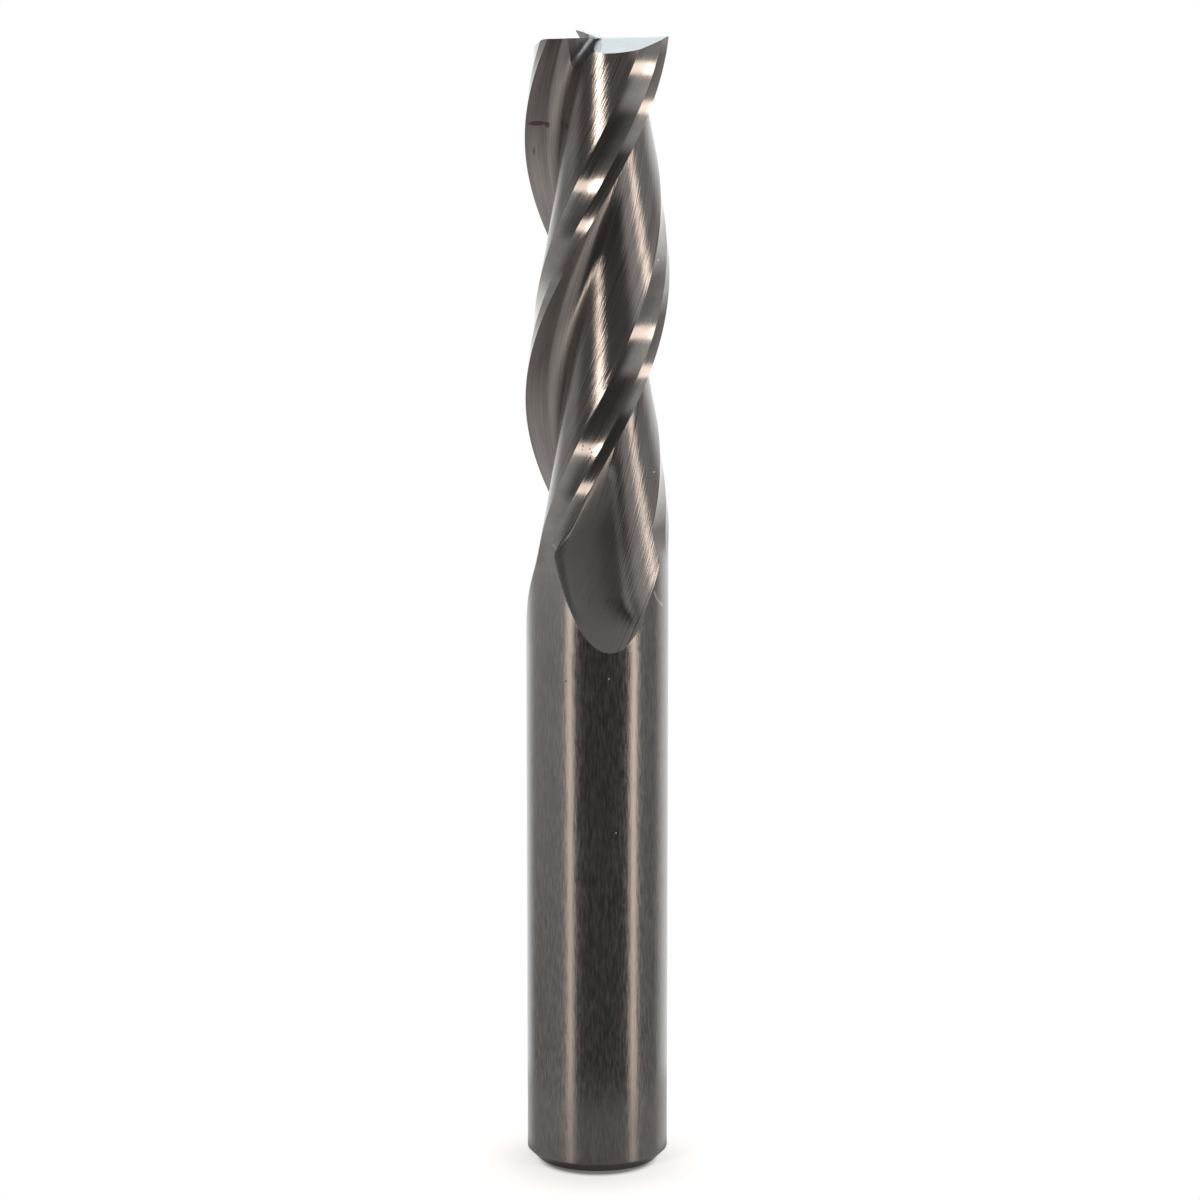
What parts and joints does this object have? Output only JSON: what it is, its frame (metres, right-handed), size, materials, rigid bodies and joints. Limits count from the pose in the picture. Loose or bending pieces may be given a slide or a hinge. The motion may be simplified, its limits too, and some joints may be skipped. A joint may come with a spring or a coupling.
{
  "type": "spiral router bit",
  "caption": "Up-cut spiral router bit: a ground solid-carbide rod with helical flutes, relieved cutting lands, gashed end teeth and a plain round chamfered shank.",
  "frame": {"origin": "centre of the flat end face of the shank", "axes": "+Z along the tool axis, from the shank end to the cutting end; -Y is the side seen from the front"},
  "size_m": [0.0096, 0.0096, 0.0762],
  "materials": {
    "carbide": "ground, satin, dark warm grey tungsten carbide"
  },
  "bodies": {
    "root": {"router_bit": "carbide"}
  },
  "joints": []
}
